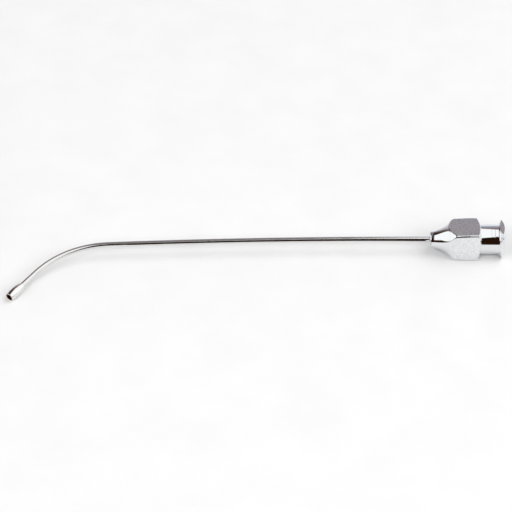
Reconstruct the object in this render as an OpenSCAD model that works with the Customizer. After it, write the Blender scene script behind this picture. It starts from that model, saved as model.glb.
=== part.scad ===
// Dispensing needle tip: a bent metal tube with an olive end, in a Luer-lock hub made from square bar.
//
// Millimetres. The origin is the centre of the socket's mouth. +X points out of the mouth along the
// hub's axis, so the tube runs towards -X. The tip lies as it rests on a table: the hub on one of its
// flats, facing down (-Z), with the tube bending towards -Y and its olive touching the same table.
//
// Profiles of turned pieces are drawn as [radius, height] and turned about the height axis.

/* [Hub] */
// Length of the hub from the nose's face to the socket's mouth
hub_len = 14.8; // [13.5:0.1:18]
// Size of the square bar, across its flats
bar_size = 6.28; // [6.2:0.02:7]
// Diameter that the block's four corners are turned to
corner_d = 8.56; // [8.2:0.02:9]
// Slope of the block's corners behind the shoulder, in degrees from the axis
corner_slope = 2.8; // [1:0.1:4]
// Distance from the nose's face to where the corners reach their full diameter
corner_full_at = 7.8; // [6.5:0.1:7.8]
// Diameter of the nose at its face
nose_d = 3.2; // [2.6:0.1:3.6]
// Radius of the nose's front edge
nose_edge_r = 0.28; // [0.1:0.02:0.4]
// Radius of the hollow flare from the nose to the block
flare_r = 6; // [4.5:0.1:6.5]
// Slope of the flare at the nose's face, in degrees from the axis
nose_slope = 4; // [0:0.5:8]
// Slope of the flare where it meets the shoulder, in degrees from the axis
flare_angle = 45; // [40:1:46]
// Radius of the rounded shoulder between the flare and the block's corners
shoulder_r = 1.2; // [0.8:0.1:1.8]
// Distance from the nose's face to the back end of the block's corners
block_end = 9.46; // [8:0.02:10]
// Slope of the block's turned back face, in degrees from square
block_back_angle = 22; // [10:1:40]
// Diameter of the round neck between the block and the lugs
neck_d = 6; // [5.6:0.1:6.1]

/* [Lugs] */
// Diameter over the lugs, which turn into the lock ring of a syringe or barrel
lug_d = 7.8; // [7.5:0.02:7.9]
// Distance from the mouth to the middle of the lugs' ridge
lug_inset = 0.45; // [0.3:0.05:0.6]
// Width of the land left on the lugs' ridge
lug_land = 0.08; // [0.04:0.01:0.2]
// Slope of the lugs' back flank, in degrees from the axis
lug_back_angle = 58; // [50:1:75]
// Slope of the lugs' front flank, in degrees from the axis
lug_front_angle = 62; // [55:1:68]
// Radius at the root between the neck and the lugs' back flank
lug_root_r = 0.4; // [0.1:0.05:0.6]

/* [Luer socket] */
// Diameter of the conical socket at its mouth
socket_d = 4.3; // [4.2:0.01:4.4]
// Loss of diameter along the socket, in percent of its depth
socket_taper = 6; // [5:0.1:7]
// Depth of the conical socket
socket_depth = 8; // [7.5:0.1:8.5]
// Width of the broken edge at the socket's mouth
mouth_chamfer = 0.15; // [0.05:0.01:0.3]
// Point angle of the drill that the socket was roughed out with
drill_angle = 118; // [100:1:135]

/* [Tube] */
// Outer diameter of the tube
tube_d = 1.1; // [0.9:0.05:1.3]
// Diameter of the tube's bore
tube_bore = 0.75; // [0.5:0.05:0.8]
// Length of the tube's first stretch outside the hub, which is straight
straight_len = 6.6; // [3:0.1:20]
// Length of the slightly bowed stretch after it
bow_len = 57.5; // [30:0.5:80]
// Angle that the bowed stretch turns through
bow_angle = 3; // [1:0.5:6]
// Radius of the bend, at the tube's middle
bend_r = 18.2; // [12:0.1:25]
// Angle that the bend turns through
bend_angle = 51.5; // [40:0.5:70]
// Distance from the end of the bend to the olive's mouth
end_len = 7.95; // [6:0.05:12]

/* [Olive] */
// Length of the olive
olive_len = 3.75; // [3:0.05:4]
// Thickness of the olive's wall at its belly, where it is thickest
olive_wall = 0.42; // [0.4:0.02:0.7]
// Distance from the olive's shoulder to its belly
belly_at = 2.1; // [1.6:0.05:2.1]
// Radius of the olive's barrel-shaped side, seen from the side
belly_r = 7; // [7:0.5:12]
// Radius of the edges at the olive's two ends
olive_edge_r = 0.06; // [0.03:0.01:0.1]
// Distance from the olive's mouth back to the end of the tube in it
tube_recess = 1.4; // [0.5:0.1:2]
// Width of the broken edge at the olive's mouth
olive_chamfer = 0.04; // [0.02:0.01:0.06]

/* [Fits] */
// Gap round the tube, in the hub and in the olive, which the solder fills
solder_gap = 0.03; // [0.02:0.01:0.05]
// Height of the small ring of solder round the tube where it leaves the hub and the olive
solder_ring = 0.05; // [0.02:0.01:0.05]

/* [Hidden] */
$fn = 96;

// A cut runs past the face that it opens by this much
past = 1;
// The stretches of the tube's route are joined by balls this much larger in radius than the rod,
// and each stretch leaves this gap before the joint, so that they always fuse into one solid
join_proud = 0.002;
join_gap = 0.02;
// A line that follows an arc starts this far inside the arc's circle, so that the two always cross
join_dip = 0.001;

// Radii
nose_r = nose_d / 2;
corner_r = corner_d / 2;
neck_r = neck_d / 2;
lug_r = lug_d / 2;
socket_r = socket_d / 2;
tube_r = tube_d / 2;
seat_r = tube_r + solder_gap; // bore in the hub and in the olive that takes the tube
olive_r = seat_r + olive_wall;

// The flare is an arc round flare_mid that starts at the nose's face and steepens to flare_angle
flare_mid = [nose_r + flare_r * cos(nose_slope), -flare_r * sin(nose_slope)];
flare_end = flare_mid + flare_r * [-cos(flare_angle), sin(flare_angle)];

// The shoulder is an arc round shoulder_mid that touches both the flare's straight end and the line
// of the corners' slope. Each line is brought in by shoulder_r, and shoulder_mid is where they cross.
corner_line_r = corner_r - corner_full_at * tan(corner_slope) - shoulder_r / cos(corner_slope);
flare_line_r = flare_end.x - flare_end.y * tan(flare_angle) - shoulder_r / cos(flare_angle);
shoulder_mid_at = (corner_line_r - flare_line_r) / (tan(flare_angle) - tan(corner_slope));
shoulder_mid = [corner_line_r + shoulder_mid_at * tan(corner_slope), shoulder_mid_at];
flare_way = [cos(flare_angle), -sin(flare_angle)]; // square to the flare's straight end, outwards
corner_way = [cos(corner_slope), -sin(corner_slope)]; // square to the corners' slope, outwards
flare_line_end = shoulder_mid + (shoulder_r - join_dip) * flare_way;
corner_line_start = shoulder_mid + (shoulder_r - join_dip) * corner_way;

// The nose's front edge is an arc that touches both the face and the flare
edge_reach = flare_r + nose_edge_r;
edge_mid = [flare_mid.x - sqrt(pow(edge_reach, 2) - pow(nose_edge_r - flare_mid.y, 2)), nose_edge_r];
edge_end = edge_mid + (flare_mid - edge_mid) * nose_edge_r / edge_reach;

// Heights above the nose's face
neck_start = block_end + (corner_r - neck_r) * tan(block_back_angle);
ridge_mid = hub_len - lug_inset;
ridge_back = ridge_mid - lug_land / 2;
ridge_front = ridge_mid + lug_land / 2;

// The root between the neck and the lugs' back flank is an arc that touches both
root_end_r = neck_r + lug_root_r * (1 - cos(lug_back_angle));
root_end = [root_end_r, ridge_back - (lug_r - root_end_r) / tan(lug_back_angle)];
root_mid = [neck_r + lug_root_r, root_end.y - lug_root_r * sin(lug_back_angle)];
mouth_face_r = lug_r - (hub_len - ridge_front) * tan(lug_front_angle);

// Socket: it narrows with depth and ends in the drill's cone, where the tube's seat begins
socket_end_r = socket_r - socket_depth * socket_taper / 200;
drill_cone_len = (socket_end_r - seat_r) / tan(drill_angle / 2);
seat_start = socket_depth + drill_cone_len; // depth from the mouth

// Tube: the bowed stretch's radius follows from its length and angle
bow_r = bow_len / bow_angle * 180 / PI;
tip_angle = bow_angle + bend_angle;
olive_at = end_len - olive_len; // from the end of the bend to the olive's shoulder
tube_end_len = end_len - tube_recess;

// The tube's plane is turned down about the hub's axis until the olive touches what the hub rests on.
// The olive's middle drops by belly_offset * sin(lay_angle). Its own tilt lowers its barrel-shaped side
// a little more, by lean * sin(lay_angle) squared, so the angle's sine solves a quadratic.
belly_offset = bow_r * (1 - cos(bow_angle)) + bend_r * (cos(bow_angle) - cos(tip_angle))
    + (olive_at + belly_at) * sin(tip_angle);
lean = (belly_r - olive_r) / 2 * pow(sin(tip_angle), 2);
drop = bar_size / 2 - olive_r;
lay_angle = asin((sqrt(pow(belly_offset, 2) + 4 * lean * drop) - belly_offset) / (2 * lean));

// Radius at which an end's edge arc is centred, at a height, so that it touches the olive's side
function edge_mid_r(height) =
    olive_r - belly_r + sqrt(pow(belly_r - olive_edge_r, 2) - pow(height - belly_at, 2));

// --- places along the tube -------------------------------------------------------------------

// Turns a piece that was made along +Z so that it runs towards -X
module towards_tip() rotate([0, -90, 0]) children();

// Turns the tube's plane down until the olive rests on the table
module lie_down() rotate([lay_angle, 0, 0]) children();

// Moves to the end of an arc that starts along -X and turns towards -Y
module after_arc(radius, angle) {
    translate([0, -radius, 0]) rotate([0, 0, angle]) translate([0, radius, 0]) children();
}

module after_straight() translate([-hub_len - straight_len, 0, 0]) children();
module after_bow() after_straight() after_arc(bow_r, bow_angle) children();
module after_bend() after_bow() after_arc(bend_r, bend_angle) children();

// --- hub ---------------------------------------------------------------------------------------

// Solid of a turned piece between two heights, up to a radius
module band(from, to, radius) translate([0, from]) square([radius, to - from]);

// Nose and flare up to the shoulder: the hollow flare is cut out, and the front edge is rounded
module nose_profile() {
    difference() {
        polygon([
            [0, 0],
            [flare_end.x, 0],
            flare_end + join_dip * flare_way,
            flare_line_end,
            shoulder_mid,
            [0, shoulder_mid.y]
        ]);
        translate(flare_mid) circle(flare_r, $fn = 720);
        translate([edge_mid.x, -past]) square([flare_end.x, edge_end.y + past]);
    }
    translate(edge_mid) circle(nose_edge_r);
    band(0, nose_edge_r, edge_mid.x);
}

// Block from its rounded shoulder to its sloped back face, and the neck behind it
module block_profile() {
    start = shoulder_mid.y - shoulder_r / 2; // within the shoulder's circle
    translate(shoulder_mid) circle(shoulder_r, $fn = 360);
    polygon([
        [0, start],
        [shoulder_mid.x, start],
        corner_line_start,
        [corner_r, corner_full_at],
        [corner_r, block_end],
        [neck_r, neck_start],
        [0, neck_start]
    ]);
    band(neck_start, hub_len, neck_r);
}

// Lugs: a ridge with two flanks and a rounded root
module lug_profile() {
    polygon([
        [0, root_mid.y],
        [root_end.x, root_mid.y],
        root_end,
        [lug_r, ridge_back],
        [lug_r, ridge_front],
        [mouth_face_r, hub_len],
        [0, hub_len]
    ]);
}

// Socket, drill cone and the tube's seat, all open towards the mouth
module socket_profile() {
    band(-past, hub_len, seat_r);
    polygon([
        [0, hub_len - seat_start],
        [seat_r, hub_len - seat_start],
        [socket_end_r, hub_len - socket_depth],
        [socket_r, hub_len],
        [0, hub_len]
    ]);
    polygon([
        [0, hub_len - mouth_chamfer],
        [socket_r, hub_len - mouth_chamfer],
        [socket_r + mouth_chamfer, hub_len],
        [socket_r + mouth_chamfer, hub_len + past],
        [0, hub_len + past]
    ]);
}

module hub_profile() {
    difference() {
        union() {
            nose_profile();
            block_profile();
            lug_profile();
        }
        translate(root_mid) circle(lug_root_r);
        socket_profile();
    }
}

// One turned piece, with four flats left from the square bar on its block and its lugs
module hub() color("silver") {
    intersection() {
        translate([-hub_len, 0, 0]) rotate([0, 90, 0]) rotate_extrude() hub_profile();
        translate([-hub_len - past, -bar_size / 2, -bar_size / 2])
            cube([hub_len + 2 * past, bar_size, bar_size]);
    }
}

// --- tube --------------------------------------------------------------------------------------

// Round rod along an arc that starts along -X and turns towards -Y
module arc_rod(arc_radius, angle, radius, steps) {
    translate([0, -arc_radius, 0]) rotate([0, 0, 90])
        rotate_extrude(angle = angle, $fn = steps) translate([arc_radius, 0]) circle(radius, $fn = 48);
}

// Straight round rod that runs towards -X from a distance along it
module straight_rod(from, length, radius) {
    translate([-from, 0, 0]) towards_tip() cylinder(r = radius, h = length, $fn = 48);
}

// Rod along the whole of the tube's route, longer at both ends by extra
module tube_rod(radius, extra) {
    ball_r = radius + join_proud;
    first_len = hub_len - seat_start + straight_len - join_gap;
    bow_trim = join_gap / bow_len * bow_angle;
    lie_down() {
        straight_rod(seat_start - extra, first_len + extra, radius);
        after_straight() {
            sphere(ball_r, $fn = 48);
            arc_rod(bow_r, bow_angle - bow_trim, radius, 3600);
        }
        after_bow() {
            sphere(ball_r, $fn = 48);
            arc_rod(bend_r, bend_angle, radius, 360);
        }
        after_bend() {
            sphere(ball_r, $fn = 48);
            straight_rod(join_gap, tube_end_len - join_gap + extra, radius);
        }
    }
}

module needle_tube() color("lightgray") {
    difference() {
        tube_rod(tube_r, 0);
        tube_rod(tube_bore / 2, past);
    }
}

// --- olive -------------------------------------------------------------------------------------

// Part of the olive at one of its ends: the end face and the round edge, centred at a height
module olive_end(face, height) {
    mid_r = edge_mid_r(height);
    translate([mid_r, height]) circle(olive_edge_r);
    band(min(face, height), max(face, height), mid_r);
}

// Height at which an end's edge arc meets the barrel-shaped side, from the height of its middle
function side_meets(height) = belly_at + (height - belly_at) * belly_r / (belly_r - olive_edge_r);

// Barrel-shaped sleeve with round edges and a bore for the tube, from its shoulder to its mouth
module olive_profile() {
    shoulder_mid_height = olive_edge_r;
    mouth_mid_height = olive_len - olive_edge_r;
    difference() {
        union() {
            intersection() {
                translate([olive_r - belly_r, belly_at]) circle(belly_r, $fn = 720);
                band(side_meets(shoulder_mid_height), side_meets(mouth_mid_height), olive_r);
            }
            olive_end(0, shoulder_mid_height);
            olive_end(olive_len, mouth_mid_height);
        }
        band(-past, olive_len + past, seat_r);
        polygon([
            [0, olive_len - olive_chamfer],
            [seat_r, olive_len - olive_chamfer],
            [seat_r + olive_chamfer, olive_len],
            [seat_r + olive_chamfer, olive_len + past],
            [0, olive_len + past]
        ]);
    }
}

module olive_tip() color("gainsboro") {
    lie_down() after_bend() towards_tip() translate([0, 0, olive_at]) rotate_extrude() olive_profile();
}

// --- solder ------------------------------------------------------------------------------------

// Sleeve of solder round the tube with a ring outside the face it comes out of, from height 0 up
module solder_sleeve(length) {
    rotate_extrude($fn = 48) polygon([
        [tube_r, -solder_ring - solder_gap],
        [seat_r, -solder_ring],
        [seat_r + solder_ring, 0],
        [seat_r, 0],
        [seat_r, length],
        [tube_r, length]
    ]);
}

module hub_solder() color("darkgray") {
    translate([-hub_len, 0, 0]) rotate([0, 90, 0]) solder_sleeve(hub_len - seat_start);
}

module tip_solder() color("darkgray") {
    lie_down() after_bend() towards_tip() translate([0, 0, olive_at])
        solder_sleeve(olive_len - tube_recess);
}

hub();
needle_tube();
olive_tip();
hub_solder();
tip_solder();
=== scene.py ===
import math

import bmesh
import bpy
from mathutils import Matrix, Vector


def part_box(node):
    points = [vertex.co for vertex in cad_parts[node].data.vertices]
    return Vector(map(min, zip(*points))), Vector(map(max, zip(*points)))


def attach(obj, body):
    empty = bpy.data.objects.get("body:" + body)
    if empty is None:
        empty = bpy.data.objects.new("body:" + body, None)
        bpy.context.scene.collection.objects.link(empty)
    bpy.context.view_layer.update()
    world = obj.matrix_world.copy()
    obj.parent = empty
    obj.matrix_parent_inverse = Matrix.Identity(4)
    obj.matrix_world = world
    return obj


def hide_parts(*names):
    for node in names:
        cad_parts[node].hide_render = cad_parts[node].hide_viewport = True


# Looks of the bent dispensing needle tip, which lies on a white table in a round, lit room.
# The frame's units are metres. Pieces are drawn in millimetres and brought to metres at the end.
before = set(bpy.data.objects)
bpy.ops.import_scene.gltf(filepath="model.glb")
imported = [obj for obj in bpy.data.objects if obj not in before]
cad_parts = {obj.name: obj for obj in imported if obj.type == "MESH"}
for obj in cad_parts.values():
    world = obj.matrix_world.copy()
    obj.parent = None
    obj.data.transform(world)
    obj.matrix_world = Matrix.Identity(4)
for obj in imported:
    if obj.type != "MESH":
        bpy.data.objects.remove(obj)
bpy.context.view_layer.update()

MM = 0.001
MICRON = 1e-6
TABLE_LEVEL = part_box("hub")[0].z

# --- sizes in millimetres, as on the CAD part -------------------------------------------------

# The hub's outline, from its nose at 0 to its mouth
HUB_LEN = -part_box("hub")[0].x / MM
BAR_SIZE = 2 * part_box("hub")[1].z / MM
CORNER_R = 4.28
CORNER_SLOPE = math.radians(2.8)
CORNER_FULL_AT = 7.8
NOSE_R = 1.6
NOSE_EDGE_R = 0.28
NOSE_SLOPE = math.radians(4)
FLARE_R = 6.0
FLARE_ANGLE = math.radians(45)
SHOULDER_R = 1.2
BLOCK_END = 9.46
BLOCK_BACK_ANGLE = math.radians(22)
NECK_R = 3.0

# The lugs, which are one rim cut by the bar's flats
LUG_R = 3.9
LUG_INSET = 0.45
LUG_LAND = 0.08
LUG_BACK_ANGLE = math.radians(58)
LUG_FRONT_ANGLE = math.radians(62)
LUG_ROOT_R = 0.4

# The socket, and the depth at which the tube's seat begins
SOCKET_R = 2.15
SOCKET_TAPER = 0.06
SOCKET_DEPTH = 8.0
SOCKET_END_R = SOCKET_R - SOCKET_DEPTH * SOCKET_TAPER / 2
MOUTH_CHAMFER = 0.15
SEAT_DEPTH = -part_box("needle_tube")[1].x / MM

# The tube from the hub's nose on: straight, slightly bowed, bent, and straight to its end
TUBE_R = 0.55
BORE_R = 0.375
SOLDER_GAP = 0.03
SEAT_R = TUBE_R + SOLDER_GAP
STRAIGHT_LEN = 6.6
BOW_LEN = 57.5
BOW_ANGLE = math.radians(3)
BEND_R = 18.2
BEND_ANGLE = math.radians(51.5)
END_LEN = 7.95

# The olive, from its shoulder at 0 to its mouth
OLIVE_LEN = 3.75
OLIVE_WALL = 0.42
OLIVE_R = SEAT_R + OLIVE_WALL
BELLY_AT = 2.1
BELLY_R = 7.0
OLIVE_EDGE_R = 0.06
OLIVE_CHAMFER = 0.04
TUBE_RECESS = 1.4

# Edges that turning and polishing have broken, and those round the flats that buffing has softened
BROKEN_EDGE = 0.05
SOFT_EDGE = 0.12

# How finely the skins are drawn, and from which angle on an edge is sharp
HUB_SIDES = 288
OLIVE_SIDES = 96
TUBE_SIDES = 48
SHARP_ANGLE = math.radians(28)

# Route of the tube, in the plane that it bends in
BOW_R = BOW_LEN / BOW_ANGLE
TIP_ANGLE = BOW_ANGLE + BEND_ANGLE
BOW_START = Vector((-HUB_LEN - STRAIGHT_LEN, 0, 0))
BOW_MID = BOW_START - Vector((0, BOW_R, 0))
BEND_MID = BOW_MID + (BOW_R - BEND_R) * Vector((-math.sin(BOW_ANGLE), math.cos(BOW_ANGLE), 0))
BEND_END = BEND_MID + BEND_R * Vector((-math.sin(TIP_ANGLE), math.cos(TIP_ANGLE), 0))
END_WAY = Vector((-math.cos(TIP_ANGLE), -math.sin(TIP_ANGLE), 0))
BEND_START_AT = HUB_LEN + STRAIGHT_LEN + BOW_LEN
BEND_END_AT = BEND_START_AT + BEND_R * BEND_ANGLE

# The tube's plane is turned down until the olive touches the table that the hub lies on
BELLY_MIDDLE = BEND_END + (END_LEN - OLIVE_LEN + BELLY_AT) * END_WAY
OLIVE_LEAN = (BELLY_R - OLIVE_R) / 2 * math.sin(TIP_ANGLE) ** 2
OLIVE_DROP = BAR_SIZE / 2 - OLIVE_R
LAY_ANGLE = math.asin(
    (math.sqrt(BELLY_MIDDLE.y**2 + 4 * OLIVE_LEAN * OLIVE_DROP) + BELLY_MIDDLE.y) / (2 * OLIVE_LEAN)
)
LIE_DOWN = Matrix.Rotation(LAY_ANGLE, 4, "X")

# The olive is drawn along X, with its shoulder at 0, and is then put on the tube's end
OLIVE_PLACE = (
    LIE_DOWN
    @ Matrix.Translation(BEND_END + (END_LEN - OLIVE_LEN) * END_WAY)
    @ Matrix.Rotation(math.pi + TIP_ANGLE, 4, "Z")
)


# --- mesh tools --------------------------------------------------------------------------------


def only(kind, parts):
    """The parts of a bmesh that are of one kind, in their order and each once."""
    return [part for part in dict.fromkeys(parts) if isinstance(part, kind)]


def line(bm, vert, *places, step=math.inf):
    """Draws lines from a profile's last vertex to each place, in steps, and returns the new last one."""
    for place in places:
        start = vert.co.xy
        way = Vector(place) - start
        count = max(math.ceil(way.length / step), 1)
        for part in range(1, count + 1):
            vert = bmesh.ops.extrude_vert_indiv(bm, verts=[vert])["verts"][0]
            vert.co.xy = start + way * part / count
    return vert


def arc(bm, vert, middle, end_angle, steps):
    """Draws an arc from a profile's last vertex round a middle, to an angle from the axis."""
    start = vert.co.xy - Vector(middle)
    turn = end_angle - math.atan2(start.y, start.x)
    made = bmesh.ops.spin(
        bm, geom=[vert], cent=(*middle, 0), axis=(0, 0, 1), dvec=(0, 0, 0), angle=turn, steps=steps
    )
    return only(bmesh.types.BMVert, made["geom_last"])[0]


def break_corners(bm, corners, width):
    """Rounds the corners of a profile where the given vertices are."""
    bmesh.ops.bevel(
        bm, geom=corners, offset=width, offset_type="OFFSET", segments=4, profile=0.5,
        affect="VERTICES", material=-1, clamp_overlap=True
    )


def turn_round(bm, sides):
    """Turns a closed profile round the X axis into a solid's skin."""
    bmesh.ops.spin(
        bm, geom=bm.verts[:] + bm.edges[:], cent=(0, 0, 0), axis=(1, 0, 0), dvec=(0, 0, 0),
        angle=math.tau, steps=sides, use_merge=True
    )
    bmesh.ops.remove_doubles(bm, verts=bm.verts, dist=1e-5)
    bmesh.ops.recalc_face_normals(bm, faces=bm.faces)


def faces_axis(face):
    """Whether a face of a turned skin looks in at the X axis, as the wall of a bore does."""
    return face.normal.yz.dot(face.calc_center_median().yz) < 0


def to_mesh(bm, name, materials):
    """Ends a bmesh as a mesh with its materials."""
    mesh = bpy.data.meshes.new(name)
    bm.to_mesh(mesh)
    bm.free()
    for material in materials:
        mesh.materials.append(material)
    return mesh


def place_in_scene(name, data):
    """Makes an object of a mesh, a lamp or a camera."""
    made = bpy.data.objects.new(name, data)
    bpy.context.scene.collection.objects.link(made)
    return made


def make_piece(bm, name, node, materials):
    """Makes a piece, in metres, that stands for a CAD node and rides on the object's one body."""
    bmesh.ops.scale(bm, vec=(MM, MM, MM), verts=bm.verts)
    for face in bm.faces:
        face.smooth = True
    mesh = to_mesh(bm, name, materials)
    mesh.set_sharp_from_angle(angle=SHARP_ANGLE)
    piece = place_in_scene(name, mesh)
    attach(piece, "root")
    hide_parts(node)


# --- material tools ----------------------------------------------------------------------------

# A Mix node has sockets of one name for each kind of value, so those for colours go by number
SHARE, FIRST, SECOND, MIXED = 0, 6, 7, 2

# Noise mostly lies between these two values
NOISE_SPAN = {"From Min": 0.3, "From Max": 0.7}


def linear(code):
    """An sRGB colour such as "C8CACC" as linear red, green, blue and alpha."""
    levels = [int(code[i:i + 2], 16) / 255 for i in (0, 2, 4)]
    return [v / 12.92 if v <= 0.04045 else ((v + 0.055) / 1.055) ** 2.4 for v in levels] + [1]


def scale_for(size):
    """The scale of a pattern whose marks are about this big, in millimetres."""
    return 1 / (size * MM)


def add(tree, kind, inputs=(), **settings):
    """Adds a node with its settings. An input takes a value, a socket, or another node's first output."""
    node = tree.nodes.new("ShaderNode" + kind)
    for name, value in settings.items():
        setattr(node, name, value)
    for name, value in dict(inputs).items():
        if isinstance(value, bpy.types.Node):
            value = value.outputs[0]
        if isinstance(value, bpy.types.NodeSocket):
            tree.links.new(value, node.inputs[name])
        else:
            node.inputs[name].default_value = value
    return node


def new_material(name):
    """A material with an empty tree, and its Object coordinates."""
    material = bpy.data.materials.new(name)
    material.use_nodes = True
    tree = material.node_tree
    tree.nodes.clear()
    return material, tree, add(tree, "TexCoord").outputs["Object"]


# --- materials ---------------------------------------------------------------------------------


def bright_chrome():
    """Chrome plate on turned brass: a mirror that shows the lathe tool's feed and a few deeper lines."""
    material, tree, place = new_material("bright_chrome_turned")
    along = add(tree, "SeparateXYZ", {"Vector": place}).outputs["X"]
    # The tool moves about 0.1 mm in a turn, and its chatter leaves wider waves, some with a deeper line
    feed = add(tree, "TexNoise", {"W": along, "Scale": scale_for(0.11), "Detail": 3}, noise_dimensions="1D")
    waves = add(tree, "TexNoise", {"W": along, "Scale": scale_for(0.6)}, noise_dimensions="1D")
    lines = add(tree, "MapRange", {"Value": waves, "From Min": 0.54, "From Max": 0.66})
    feed_bump = add(tree, "Bump", {"Height": feed, "Distance": 0.4 * MICRON})
    wave_bump = add(tree, "Bump", {"Height": waves, "Distance": 1.5 * MICRON, "Normal": feed_bump})
    line_bump = add(tree, "Bump", {"Height": lines, "Distance": -4 * MICRON, "Normal": wave_bump})
    clouds = add(tree, "TexNoise", {"Vector": place, "Scale": scale_for(2)})
    shade = add(tree, "MapRange", {"Value": clouds} | NOISE_SPAN)
    colour = {SHARE: shade, FIRST: linear("E4E6E8"), SECOND: linear("E8EAEC")}
    wear = add(tree, "TexNoise", {"Vector": place, "Scale": scale_for(1.5), "Detail": 4})
    shader = add(tree, "BsdfPrincipled", {
        "Base Color": add(tree, "Mix", colour, data_type="RGBA").outputs[MIXED],
        "Metallic": 1,
        "Roughness": add(tree, "MapRange", {"Value": wear, "To Min": 0.03, "To Max": 0.09} | NOISE_SPAN),
        "Normal": line_bump
    })
    add(tree, "OutputMaterial", {"Surface": shader})
    return material


def satin_chrome():
    """Chrome plate on flats of drawn bar: the same plate, cloudy and grained by an uneven ground."""
    material, tree, place = new_material("satin_chrome_flats")
    ground = add(tree, "TexNoise", {"Vector": place, "Scale": scale_for(0.4), "Detail": 3})
    # The die's grain is finer, and is drawn this coarse so that it shows
    grain = add(tree, "TexNoise", {"Vector": place, "Scale": scale_for(0.12)})
    ground_bump = add(tree, "Bump", {"Height": ground, "Distance": 7 * MICRON})
    grain_bump = add(tree, "Bump", {"Height": grain, "Distance": 1.5 * MICRON, "Normal": ground_bump})
    shade = add(tree, "MapRange", {"Value": ground} | NOISE_SPAN)
    colour = {SHARE: shade, FIRST: linear("D8DBDD"), SECOND: linear("F3F5F7")}
    wear = add(tree, "TexNoise", {"Vector": place, "Scale": scale_for(0.8), "Detail": 4})
    shader = add(tree, "BsdfPrincipled", {
        "Base Color": add(tree, "Mix", colour, data_type="RGBA").outputs[MIXED],
        "Metallic": 1,
        "Roughness": add(tree, "MapRange", {"Value": wear, "To Min": 0.08, "To Max": 0.16} | NOISE_SPAN),
        "Normal": grain_bump
    })
    add(tree, "OutputMaterial", {"Surface": shader})
    return material


def bored_chrome():
    """Chrome plate in the bored socket, where the reamer's rings are left as they were cut."""
    material, tree, place = new_material("chrome_bored")
    along = add(tree, "SeparateXYZ", {"Vector": place}).outputs["X"]
    rings = add(tree, "TexNoise", {"W": along, "Scale": scale_for(0.2), "Detail": 3}, noise_dimensions="1D")
    grain = add(tree, "TexNoise", {"Vector": place, "Scale": scale_for(0.15)})
    ring_bump = add(tree, "Bump", {"Height": rings, "Distance": 2.5 * MICRON})
    wear = add(tree, "TexNoise", {"Vector": place, "Scale": scale_for(1)})
    shader = add(tree, "BsdfPrincipled", {
        "Base Color": linear("DEDDDB"),
        "Metallic": 1,
        "Roughness": add(tree, "MapRange", {"Value": wear, "To Min": 0.18, "To Max": 0.32} | NOISE_SPAN),
        "Normal": add(tree, "Bump", {"Height": grain, "Distance": 0.8 * MICRON, "Normal": ring_bump})
    })
    add(tree, "OutputMaterial", {"Surface": shader})
    return material


def drawn_steel():
    """Drawn stainless steel, buffed lengthwise: bright, with hair lines along the tube."""
    material, tree, _ = new_material("stainless_steel_drawn")
    route = add(tree, "Attribute", attribute_name="straight_place").outputs["Vector"]
    # The hair lines are finer, and are drawn 0.1 mm wide so that they show
    hair_scale = [scale_for(size) for size in (9, 0.1, 0.1)]
    hair_place = add(tree, "VectorMath", {0: route, 1: hair_scale}, operation="MULTIPLY")
    hair = add(tree, "TexNoise", {"Vector": hair_place, "Scale": 1, "Detail": 3})
    dents = add(tree, "TexNoise", {"Vector": route, "Scale": scale_for(0.9)})
    hair_bump = add(tree, "Bump", {"Height": hair, "Distance": 0.5 * MICRON})
    shade = add(tree, "MapRange", {"Value": hair} | NOISE_SPAN)
    colour = {SHARE: shade, FIRST: linear("DADAD9"), SECOND: linear("E8E8E8")}
    wear = add(tree, "TexNoise", {"Vector": route, "Scale": scale_for(2.5), "Detail": 4})
    shader = add(tree, "BsdfPrincipled", {
        "Base Color": add(tree, "Mix", colour, data_type="RGBA").outputs[MIXED],
        "Metallic": 1,
        "Roughness": add(tree, "MapRange", {"Value": wear, "To Min": 0.08, "To Max": 0.17} | NOISE_SPAN),
        "Normal": add(tree, "Bump", {"Height": dents, "Distance": 1.2 * MICRON, "Normal": hair_bump})
    })
    add(tree, "OutputMaterial", {"Surface": shader})
    return material


def polished_chrome():
    """Chrome plate on the olive, turned and then polished: faint rings round its own axis, and pits."""
    material, tree, place = new_material("polished_chrome_olive")
    turn = {"Vector": place, "Location": OLIVE_PLACE.translation * MM, "Rotation": OLIVE_PLACE.to_euler()}
    own_place = add(tree, "Mapping", turn, vector_type="TEXTURE")
    along = add(tree, "SeparateXYZ", {"Vector": own_place}).outputs["X"]
    rings = add(tree, "TexNoise", {"W": along, "Scale": scale_for(0.12), "Detail": 3}, noise_dimensions="1D")
    spots = add(tree, "TexNoise", {"Vector": own_place, "Scale": scale_for(0.18)})
    pits = add(tree, "MapRange", {"Value": spots, "From Min": 0.66, "From Max": 0.74})
    ring_bump = add(tree, "Bump", {"Height": rings, "Distance": 0.3 * MICRON})
    clouds = add(tree, "TexNoise", {"Vector": own_place, "Scale": scale_for(1.2)})
    shade = add(tree, "MapRange", {"Value": clouds} | NOISE_SPAN)
    colour = {SHARE: shade, FIRST: linear("E8E7E6"), SECOND: linear("ECEBEA")}
    wear = add(tree, "TexNoise", {"Vector": own_place, "Scale": scale_for(0.9), "Detail": 4})
    shader = add(tree, "BsdfPrincipled", {
        "Base Color": add(tree, "Mix", colour, data_type="RGBA").outputs[MIXED],
        "Metallic": 1,
        "Roughness": add(tree, "MapRange", {"Value": wear, "To Min": 0.03, "To Max": 0.09} | NOISE_SPAN),
        "Normal": add(tree, "Bump", {"Height": pits, "Distance": -0.8 * MICRON, "Normal": ring_bump})
    })
    add(tree, "OutputMaterial", {"Surface": shader})
    return material


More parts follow.
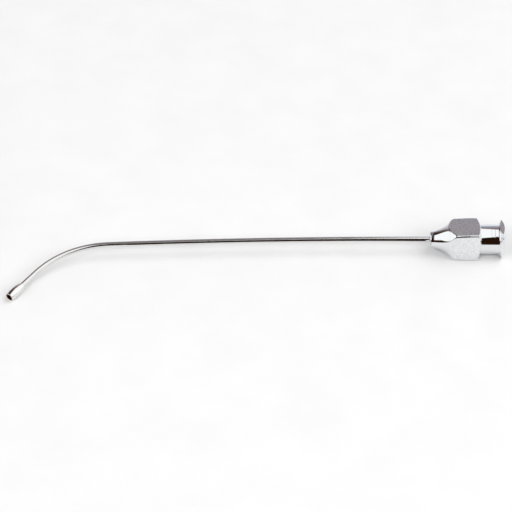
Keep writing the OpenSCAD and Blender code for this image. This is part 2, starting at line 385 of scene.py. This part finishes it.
def bare_brass():
    """Brass in the olive's bore, which the plate doesn't reach: dull, and browned in patches."""
    material, tree, place = new_material("brass_bare_browned")
    stain = add(tree, "TexNoise", {"Vector": place, "Scale": scale_for(0.5), "Detail": 4})
    grain = add(tree, "TexNoise", {"Vector": place, "Scale": scale_for(0.1)})
    shade = add(tree, "MapRange", {"Value": stain} | NOISE_SPAN)
    colour = {SHARE: shade, FIRST: linear("4A2C12"), SECOND: linear("8A5A22")}
    shader = add(tree, "BsdfPrincipled", {
        "Base Color": add(tree, "Mix", colour, data_type="RGBA").outputs[MIXED],
        "Metallic": 1,
        "Roughness": add(tree, "MapRange", {"Value": stain, "To Min": 0.55, "To Max": 0.4} | NOISE_SPAN),
        "Normal": add(tree, "Bump", {"Height": grain, "Distance": 2 * MICRON})
    })
    add(tree, "OutputMaterial", {"Surface": shader})
    return material


def bore_steel():
    """Steel in the tube's bore, left from drawing: grey, dull and scored."""
    material, tree, place = new_material("stainless_steel_bore")
    scores = add(tree, "TexNoise", {"Vector": place, "Scale": scale_for(0.3), "Detail": 4})
    shade = add(tree, "MapRange", {"Value": scores} | NOISE_SPAN)
    colour = {SHARE: shade, FIRST: linear("4E4A46"), SECOND: linear("6E6A66")}
    shader = add(tree, "BsdfPrincipled", {
        "Base Color": add(tree, "Mix", colour, data_type="RGBA").outputs[MIXED],
        "Metallic": 1,
        "Roughness": add(tree, "MapRange", {"Value": scores, "To Min": 0.35, "To Max": 0.55} | NOISE_SPAN),
        "Normal": add(tree, "Bump", {"Height": scores, "Distance": 2 * MICRON})
    })
    add(tree, "OutputMaterial", {"Surface": shader})
    return material


def silver_solder():
    """Silver solder, flowed and wiped: lumpy, and duller than the plate."""
    material, tree, place = new_material("silver_solder")
    lumps = add(tree, "TexNoise", {"Vector": place, "Scale": scale_for(0.25), "Detail": 3})
    shade = add(tree, "MapRange", {"Value": lumps} | NOISE_SPAN)
    colour = {SHARE: shade, FIRST: linear("BDBBB4"), SECOND: linear("D2D0CA")}
    wear = add(tree, "TexNoise", {"Vector": place, "Scale": scale_for(0.12)})
    shader = add(tree, "BsdfPrincipled", {
        "Base Color": add(tree, "Mix", colour, data_type="RGBA").outputs[MIXED],
        "Metallic": 1,
        "Roughness": add(tree, "MapRange", {"Value": wear, "To Min": 0.2, "To Max": 0.36} | NOISE_SPAN),
        "Normal": add(tree, "Bump", {"Height": lumps, "Distance": 4 * MICRON})
    })
    add(tree, "OutputMaterial", {"Surface": shader})
    return material


def white_laminate():
    """The table's white laminate: matt, with a faint cloudiness."""
    material, tree, place = new_material("white_laminate")
    clouds = add(tree, "TexNoise", {"Vector": place, "Scale": scale_for(9), "Detail": 3})
    shade = add(tree, "MapRange", {"Value": clouds} | NOISE_SPAN)
    colour = {SHARE: shade, FIRST: linear("DDDDDD"), SECOND: linear("E0E0E0")}
    wear = add(tree, "TexNoise", {"Vector": place, "Scale": scale_for(1.5)})
    shader = add(tree, "BsdfPrincipled", {
        "Base Color": add(tree, "Mix", colour, data_type="RGBA").outputs[MIXED],
        "Roughness": add(tree, "MapRange", {"Value": wear, "To Min": 0.85, "To Max": 0.95} | NOISE_SPAN),
        "Specular IOR Level": 0
    })
    add(tree, "OutputMaterial", {"Surface": shader})
    return material


def black_card():
    """Soft black card, pressed from fibres that leave it a little uneven."""
    material, tree, place = new_material("black_card")
    fibres = add(tree, "TexNoise", {"Vector": place, "Scale": scale_for(3)})
    colour = {SHARE: fibres, FIRST: linear("36261C"), SECOND: linear("3E2E24")}
    shader = add(tree, "BsdfPrincipled", {
        "Base Color": add(tree, "Mix", colour, data_type="RGBA").outputs[MIXED],
        "Roughness": 0.9
    })
    add(tree, "OutputMaterial", {"Surface": shader})
    return material


# --- pieces ------------------------------------------------------------------------------------


def draw_nose(bm, vert):
    """Draws the nose's face and rounded edge, the flare, and the shoulder where the corners begin."""
    flare_mid = Vector((-FLARE_R * math.sin(NOSE_SLOPE), NOSE_R + FLARE_R * math.cos(NOSE_SLOPE)))
    flare_end = flare_mid + FLARE_R * Vector((math.sin(FLARE_ANGLE), -math.cos(FLARE_ANGLE)))
    edge_reach = FLARE_R + NOSE_EDGE_R
    edge_rise = math.sqrt(edge_reach**2 - (NOSE_EDGE_R - flare_mid.x) ** 2)
    edge_mid = Vector((NOSE_EDGE_R, flare_mid.y - edge_rise))
    edge_way = flare_mid - edge_mid

    # The shoulder's arc touches the flare's straight end and the slope of the corners
    flare_rise = math.tan(FLARE_ANGLE)
    corner_rise = math.tan(CORNER_SLOPE)
    flare_line = flare_end.y - flare_end.x * flare_rise - SHOULDER_R / math.cos(FLARE_ANGLE)
    corner_line = CORNER_R - CORNER_FULL_AT * corner_rise - SHOULDER_R / math.cos(CORNER_SLOPE)
    shoulder_at = (corner_line - flare_line) / (flare_rise - corner_rise)
    shoulder_mid = Vector((shoulder_at, corner_line + shoulder_at * corner_rise))
    shoulder_start = shoulder_mid + SHOULDER_R * Vector((-math.sin(FLARE_ANGLE), math.cos(FLARE_ANGLE)))

    vert = line(bm, vert, (0, edge_mid.y))
    vert = arc(bm, vert, edge_mid, math.atan2(edge_way.y, edge_way.x), steps=10)
    vert = arc(bm, vert, flare_mid, FLARE_ANGLE - math.pi / 2, steps=64)
    vert = line(bm, vert, shoulder_start, step=0.06)
    return arc(bm, vert, shoulder_mid, math.pi / 2 + CORNER_SLOPE, steps=16)


def draw_lugs(bm, vert):
    """Draws the neck, and the lugs up to the mouth's face. Returns the lugs' three corners."""
    ridge_back = HUB_LEN - LUG_INSET - LUG_LAND / 2
    ridge_front = HUB_LEN - LUG_INSET + LUG_LAND / 2
    root_end_r = NECK_R + LUG_ROOT_R * (1 - math.cos(LUG_BACK_ANGLE))
    root_end = ridge_back - (LUG_R - root_end_r) / math.tan(LUG_BACK_ANGLE)
    root_mid = Vector((root_end - LUG_ROOT_R * math.sin(LUG_BACK_ANGLE), NECK_R + LUG_ROOT_R))
    mouth_face_r = LUG_R - (HUB_LEN - ridge_front) * math.tan(LUG_FRONT_ANGLE)

    vert = line(bm, vert, (root_mid.x, NECK_R))
    vert = arc(bm, vert, root_mid, LUG_BACK_ANGLE - math.pi / 2, steps=10)
    ridge_corner = line(bm, vert, (ridge_back, LUG_R), step=0.07)
    front_corner = line(bm, ridge_corner, (ridge_front, LUG_R))
    face_corner = line(bm, front_corner, (HUB_LEN, mouth_face_r), step=0.07)
    return ridge_corner, front_corner, face_corner


def hub(turned, drawn, bored):
    """The hub: one turned and bored piece, with four flats left from the drawn square bar.

    Slopes that the flats cut are drawn in short steps, so that the cuts come out as smooth curves.
    """
    bm = bmesh.new()
    neck_start = BLOCK_END + (CORNER_R - NECK_R) * math.tan(BLOCK_BACK_ANGLE)
    first = bm.verts.new((0, SEAT_R, 0))
    vert = draw_nose(bm, first)
    block_corner = line(bm, vert, (CORNER_FULL_AT, CORNER_R), (BLOCK_END, CORNER_R), step=0.3)
    neck_corner = line(bm, block_corner, (neck_start, NECK_R), step=0.07)
    ridge_corner, front_corner, face_corner = draw_lugs(bm, neck_corner)
    vert = line(
        bm, face_corner, (HUB_LEN, SOCKET_R + MOUTH_CHAMFER), (HUB_LEN - MOUTH_CHAMFER, SOCKET_R),
        (HUB_LEN - SOCKET_DEPTH, SOCKET_END_R), (HUB_LEN - SEAT_DEPTH, SEAT_R)
    )
    bm.edges.new((vert, first))
    break_corners(bm, [block_corner, neck_corner, face_corner], BROKEN_EDGE)
    break_corners(bm, [ridge_corner, front_corner], LUG_LAND / 3)
    turn_round(bm, HUB_SIDES)
    flats = square_off(bm)
    materials = [turned, drawn, bored]
    for face in bm.faces:
        if flats.issuperset(face.verts):
            face.material_index = materials.index(drawn)
        elif faces_axis(face):
            face.material_index = materials.index(bored)
    bmesh.ops.translate(bm, vec=(-HUB_LEN, 0, 0), verts=bm.verts)
    make_piece(bm, "hub_body", "hub", materials)


def square_off(bm):
    """Brings a turned skin in to the square bar's four flats. Returns the vertices on them.

    Within SOFT_EDGE of a flat's outline both sides fall away in a parabola, as buffing leaves them.
    """
    flats = set()
    for vert in bm.verts:
        radius = vert.co.yz.length
        flat = BAR_SIZE / 2 * radius / max(abs(vert.co.y), abs(vert.co.z))
        if radius > flat:
            flats.add(vert)
        soft = max(SOFT_EDGE - abs(radius - flat), 0) ** 2 / (4 * SOFT_EDGE)
        vert.co.yz *= (min(radius, flat) - soft) / radius
    return flats


def distance_along(place):
    """Distance from the hub's mouth, along the tube's route, to a point beside it."""
    if place.x > BOW_START.x:
        return -place.x
    way = place - BOW_MID
    turned = math.atan2(-way.x, way.y)
    if turned < BOW_ANGLE:
        return HUB_LEN + STRAIGHT_LEN + turned * BOW_R
    way = place - BEND_MID
    turned = math.atan2(-way.x, way.y)
    if turned < TIP_ANGLE:
        return BEND_START_AT + (turned - BOW_ANGLE) * BEND_R
    return BEND_END_AT + (place - BEND_END).dot(END_WAY)


def push(bm, ring, way):
    """Draws a tube straight on from a ring of edges, and returns the new last ring."""
    grown = bmesh.ops.extrude_edge_only(bm, edges=ring)["geom"]
    verts = only(bmesh.types.BMVert, grown)
    bmesh.ops.translate(bm, vec=way, verts=verts)
    return [edge for edge in only(bmesh.types.BMEdge, grown) if set(verts).issuperset(edge.verts)]


def swing(bm, ring, middle, angle, steps):
    """Bends a tube on from a ring of edges round a middle, and returns the new last ring."""
    verts = only(bmesh.types.BMVert, [vert for edge in ring for vert in edge.verts])
    made = bmesh.ops.spin(
        bm, geom=ring + verts, cent=middle, axis=(0, 0, 1), dvec=(0, 0, 0), angle=angle, steps=steps
    )
    return only(bmesh.types.BMEdge, made["geom_last"])


def sweep(bm, radius, straight_place):
    """Sweeps a ring along the tube's route, and returns the edges of the first and the last ring.

    The layer takes where each vertex was on the ring, and keeps it along the whole route.
    """
    made = bmesh.ops.create_circle(
        bm, segments=TUBE_SIDES, radius=radius,
        matrix=Matrix.Translation((-SEAT_DEPTH, 0, 0)) @ Matrix.Rotation(math.pi / 2, 4, "Y")
    )
    for vert in made["verts"]:
        vert[straight_place] = vert.co.copy()
    first = only(bmesh.types.BMEdge, [edge for vert in made["verts"] for edge in vert.link_edges])
    ring = push(bm, first, BOW_START - Vector((-SEAT_DEPTH, 0, 0)))
    ring = swing(bm, ring, BOW_MID, BOW_ANGLE, steps=48)
    ring = swing(bm, ring, BEND_MID, BEND_ANGLE, steps=72)
    last = push(bm, ring, END_WAY * (END_LEN - TUBE_RECESS))
    return first, last


def needle_tube(steel, bore):
    """The drawn tube, with its bore: straight, slightly bowed, bent, and straight again.

    Its attribute straight_place, in metres, is where each point was before the tube was bent.
    """
    bm = bmesh.new()
    straight_place = bm.verts.layers.float_vector.new("straight_place")
    outer = sweep(bm, TUBE_R, straight_place)
    inner = sweep(bm, BORE_R, straight_place)
    for outer_ring, inner_ring in zip(outer, inner):
        bmesh.ops.bridge_loops(bm, edges=outer_ring + inner_ring)
    bmesh.ops.recalc_face_normals(bm, faces=bm.faces)
    wall_middle = (BORE_R + TUBE_R) / 2
    materials = [steel, bore]
    for face in bm.faces:
        if all(vert[straight_place].yz.length < wall_middle for vert in face.verts):
            face.material_index = materials.index(bore)
    for vert in bm.verts:
        across = vert[straight_place]
        vert[straight_place] = MM * Vector((-distance_along(vert.co), across.y, across.z))
    bmesh.ops.transform(bm, matrix=LIE_DOWN, verts=bm.verts)
    make_piece(bm, "tube_drawn", "needle_tube", materials)


def olive_edge_mid(height):
    """Where the arc of an end's edge is centred, so that it touches the olive's side."""
    rise = math.sqrt((BELLY_R - OLIVE_EDGE_R) ** 2 - (height - BELLY_AT) ** 2)
    return Vector((height, OLIVE_R - BELLY_R + rise))


def olive(chrome, brass):
    """The olive: a barrel-shaped sleeve over the tube's end."""
    bm = bmesh.new()
    belly_mid = Vector((BELLY_AT, OLIVE_R - BELLY_R))
    shoulder_mid = olive_edge_mid(OLIVE_EDGE_R)
    mouth_mid = olive_edge_mid(OLIVE_LEN - OLIVE_EDGE_R)
    shoulder_way = shoulder_mid - belly_mid
    mouth_way = mouth_mid - belly_mid
    first = bm.verts.new((0, SEAT_R, 0))
    vert = line(bm, first, (0, shoulder_mid.y))
    vert = arc(bm, vert, shoulder_mid, math.atan2(shoulder_way.y, shoulder_way.x), steps=6)
    vert = arc(bm, vert, belly_mid, math.atan2(mouth_way.y, mouth_way.x), steps=40)
    vert = arc(bm, vert, mouth_mid, 0, steps=6)
    vert = line(
        bm, vert, (OLIVE_LEN, SEAT_R + OLIVE_CHAMFER), (OLIVE_LEN - OLIVE_CHAMFER, SEAT_R)
    )
    bm.edges.new((vert, first))
    turn_round(bm, OLIVE_SIDES)
    materials = [chrome, brass]
    for face in bm.faces:
        if faces_axis(face):
            face.material_index = materials.index(brass)
    bmesh.ops.transform(bm, matrix=OLIVE_PLACE, verts=bm.verts)
    make_piece(bm, "olive_body", "olive_tip", materials)


def dress_solder(material):
    """Gives the CAD's two solder sleeves their finish."""
    for name in ("hub_solder", "tip_solder"):
        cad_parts[name].data.materials.clear()
        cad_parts[name].data.materials.append(material)


# --- table and lit room ------------------------------------------------------------------------

# In metres. The table reaches beyond the room's wall, so that the horizon has no gap
TABLE_HALF = 3
ROOM_R = 2.5
ROOM_MIDDLE = Vector((-0.05, 0, 0))

# The room's wall is mapped by the way that leads to it from the part. Along the part, -1 is the end
# beyond the olive and 1 the end beyond the hub. The lift is in degrees over the horizon in front, so
# 90 is overhead and 180 the horizon behind. An edge of a box of light is soft: it is dark at the
# first value and lit from the second on.
BOX_POWER = 1.18

# Left box: its foot rises to its lift over a stretch of the wall, and its top leans
LEFT_SIDE = (-0.27, -0.3)
LEFT_FOOT = (-1.5, 1.5)
LEFT_FOOT_LIFT = 25
LEFT_FOOT_STRETCH = (-0.98, -0.7)
LEFT_TOP = (71, 67)
LEFT_TOP_LEAN = 80

# Right box: its foot leans, and its top climbs from a place on
RIGHT_SIDE = (0.075, 0.095)
RIGHT_FOOT = (62.3, 65.3)
RIGHT_FOOT_LEAN = 58
RIGHT_TOP = (118, 115)
RIGHT_CLIMB = 100
RIGHT_CLIMB_FROM = 0.15

# A small square of light between them, low down and a little fainter
SQUARE_LEFT = (-0.015, 0)
SQUARE_RIGHT = (0.095, 0.075)
SQUARE_FOOT = (48, 50)
SQUARE_TOP = (58, 56)
SQUARE_SHARE = 0.9

# The wall's colours by their lift: dark in front, dark brown or grey overhead, white behind
WALLS_MEET = (-0.18, -0.1)
LEFT_WALL = (
    (0, "2A160C"), (50, "20100A"), (60, "22201F"), (112, "2A2624"), (122, "44342E"),
    (140, "6A5A54"), (150, "9E949E"), (160, "C9C5C9"), (170, "D1D1D5"), (180, "EAEAEA")
)
RIGHT_WALL = (
    (0, "2A160C"), (50, "24140C"), (60, "817E7D"), (104, "8D8B89"), (118, "887671"),
    (128, "8D7F7B"), (143, "A59EA2"), (150, "A8ACB9"), (160, "CED6E7"), (170, "F4FBFF"), (180, "FFFFFF")
)


def stage_piece(name, mesh):
    """Puts a piece of the stage in the scene."""
    piece = place_in_scene(name, mesh)
    return piece


def table():
    """A white table top that fills the view."""
    bm = bmesh.new()
    bmesh.ops.create_grid(bm, x_segments=1, y_segments=1, size=TABLE_HALF)
    bmesh.ops.translate(bm, vec=(ROOM_MIDDLE.x, 0, TABLE_LEVEL), verts=bm.verts)
    stage_piece("table_top", to_mesh(bm, "table_top", [white_laminate()]))


def inside(tree, *edges):
    """How far a place is inside all edges, 0 to 1. Each is a value, and where it is dark and lit."""
    share = 1
    for value, (dark, lit) in edges:
        edge = add(tree, "MapRange", {"Value": value, "From Min": dark, "From Max": lit})
        share = add(tree, "Math", {0: share, 1: edge}, operation="MULTIPLY")
    return share


def boxes_of_light(tree, along, lift):
    """The share of light on the wall, which is 1 inside the two soft boxes."""
    foot_from, foot_to = LEFT_FOOT_STRETCH
    foot_span = {"From Min": foot_from, "From Max": foot_to, "To Max": LEFT_FOOT_LIFT}
    foot = add(tree, "MapRange", {"Value": along} | foot_span)
    over_foot = add(tree, "Math", {0: lift, 1: foot}, operation="SUBTRACT")
    lean = add(tree, "Math", {0: along, 1: LEFT_TOP_LEAN, 2: lift}, operation="MULTIPLY_ADD")
    left = inside(tree, (over_foot, LEFT_FOOT), (along, LEFT_SIDE), (lean, LEFT_TOP))

    lean = add(tree, "Math", {0: along, 1: RIGHT_FOOT_LEAN, 2: lift}, operation="MULTIPLY_ADD")
    past = add(tree, "Math", {0: along, 1: RIGHT_CLIMB_FROM}, operation="SUBTRACT")
    past = add(tree, "Math", {0: past, 1: 0}, operation="MAXIMUM")
    climb = add(tree, "Math", {0: past, 1: RIGHT_CLIMB}, operation="MULTIPLY")
    under_climb = add(tree, "Math", {0: lift, 1: climb}, operation="SUBTRACT")
    right = inside(tree, (lean, RIGHT_FOOT), (along, RIGHT_SIDE), (under_climb, RIGHT_TOP))

    square = inside(
        tree, (lift, SQUARE_FOOT), (lift, SQUARE_TOP), (along, SQUARE_LEFT), (along, SQUARE_RIGHT)
    )
    square = add(tree, "Math", {0: square, 1: SQUARE_SHARE}, operation="MULTIPLY")
    boxes = add(tree, "Math", {0: left, 1: right}, operation="MAXIMUM")
    return add(tree, "Math", {0: boxes, 1: square}, operation="MAXIMUM")


def wall_colour(tree, lift, stops):
    """The colours of one half of the wall, by their lift."""
    ramp = add(tree, "ValToRGB", {0: add(tree, "Math", {0: lift, 1: 180}, operation="DIVIDE")})
    elements = ramp.color_ramp.elements
    while len(elements) < len(stops):
        elements.new(0.5)
    for element, (angle, code) in zip(elements, stops):
        element.position = angle / 180
        element.color = linear(code)
    return ramp


def room_glow():
    """The room's wall: boxes of light behind cloth, on a wall that is dark in front and white behind."""
    material, tree, place = new_material("room_glow")
    way = add(tree, "VectorMath", {0: place, 1: ROOM_MIDDLE}, operation="SUBTRACT")
    way = add(tree, "VectorMath", {0: way}, operation="NORMALIZE")
    along, back, up = add(tree, "SeparateXYZ", {"Vector": way}).outputs
    front = add(tree, "Math", {0: back, 1: -1}, operation="MULTIPLY")
    lift = add(tree, "Math", {0: up, 1: front}, operation="ARCTAN2")
    lift = add(tree, "Math", {0: lift}, operation="DEGREES")
    box = boxes_of_light(tree, along, lift)
    walls = {
        SHARE: inside(tree, (along, WALLS_MEET)),
        FIRST: wall_colour(tree, lift, LEFT_WALL),
        SECOND: wall_colour(tree, lift, RIGHT_WALL)
    }
    wall = add(tree, "Mix", walls, data_type="RGBA").outputs[MIXED]
    lit_wall = add(tree, "Mix", {SHARE: box, FIRST: wall, SECOND: linear("FFFFFF")}, data_type="RGBA")
    power = add(tree, "Math", {0: box, 1: BOX_POWER - 1, 2: 1}, operation="MULTIPLY_ADD")
    glow = add(tree, "Emission", {"Color": lit_wall.outputs[MIXED], "Strength": power})
    add(tree, "OutputMaterial", {"Surface": glow})
    return material


def lit_room():
    """The round room, which the metal mirrors and the camera looks through."""
    bm = bmesh.new()
    bmesh.ops.create_icosphere(
        bm, subdivisions=5, radius=ROOM_R, matrix=Matrix.Translation(ROOM_MIDDLE)
    )
    room = stage_piece("lit_room", to_mesh(bm, "lit_room", [room_glow()]))
    room.visible_camera = False


def dark_card(name, start, end, top):
    """A black card that stands on the table between two places, and which only the metal reflects.

    Its places and its top are in millimetres.
    """
    bm = bmesh.new()
    foot = bm.edges.new([bm.verts.new((x * MM, y * MM, TABLE_LEVEL)) for x, y in (start, end)])
    grown = bmesh.ops.extrude_edge_only(bm, edges=[foot])["geom"]
    raised = only(bmesh.types.BMVert, grown)
    bmesh.ops.translate(bm, vec=(0, 0, top * MM - TABLE_LEVEL), verts=raised)
    card = stage_piece(name, to_mesh(bm, name, [black_card()]))
    card.visible_camera = False
    card.visible_diffuse = False
    card.visible_transmission = False
    card.visible_shadow = False


# --- lamps, world and camera -------------------------------------------------------------------

LAMP_DISTANCE = 1.5

CAMERA_AIM = Vector((-49.5, -2.03, -2.68)) * MM
CAMERA_DISTANCE = 350 * MM
CAMERA_HEIGHT = math.radians(38.3)


def lamp(name, width, depth, turn, height, power):
    """A wide lamp for the table, which the metal doesn't reflect.

    Its width and depth are in metres and its power in watts. It is turned from the front towards +X
    and raised over the table, both in degrees.
    """
    data = bpy.data.lights.new(name, "AREA")
    data.shape = "RECTANGLE"
    data.size = width
    data.size_y = depth
    data.energy = power
    turn, height = math.radians(turn), math.radians(height)
    way = Vector((math.sin(turn) * math.cos(height), -math.cos(turn) * math.cos(height), math.sin(height)))
    piece = place_in_scene(name, data)
    piece.location = ROOM_MIDDLE + LAMP_DISTANCE * way
    piece.rotation_euler = (math.pi / 2 - height, 0, turn)
    piece.visible_glossy = False


def white_world():
    """Plain white beyond the table."""
    world = bpy.data.worlds.new("white_room")
    bpy.context.scene.world = world
    world.use_nodes = True
    background = world.node_tree.nodes["Background"]
    background.inputs["Color"].default_value = linear("FFFFFF")
    background.inputs["Strength"].default_value = 1


def camera():
    """A long lens that looks down on the table from the front."""
    data = bpy.data.cameras.new("camera")
    data.sensor_width = 36
    data.lens = 123.05
    data.clip_start = 0.01
    data.clip_end = 10
    way = Vector((0, -math.cos(CAMERA_HEIGHT), math.sin(CAMERA_HEIGHT)))
    eye = place_in_scene("camera", data)
    eye.location = CAMERA_AIM + CAMERA_DISTANCE * way
    eye.rotation_euler = (math.pi / 2 - CAMERA_HEIGHT, 0, 0)
    bpy.context.scene.camera = eye


# --- the scene ---------------------------------------------------------------------------------

camera()
table()
lit_room()
dark_card("far_card", start=(-250, -40), end=(150, -40), top=1.3)
dark_card("near_card", start=(-75, -12), end=(-15.3, -2.9), top=0.2)
lamp("front_lamp", width=1.8, depth=0.4, turn=-14, height=41, power=11.7)
lamp("right_lamp", width=1.4, depth=0.4, turn=50, height=30, power=6)
lamp("top_lamp", width=1.2, depth=1, turn=105, height=58, power=5.6)
white_world()
bpy.context.scene.view_settings.view_transform = "Standard"

hub(bright_chrome(), satin_chrome(), bored_chrome())
needle_tube(drawn_steel(), bore_steel())
olive(polished_chrome(), bare_brass())
dress_solder(silver_solder())
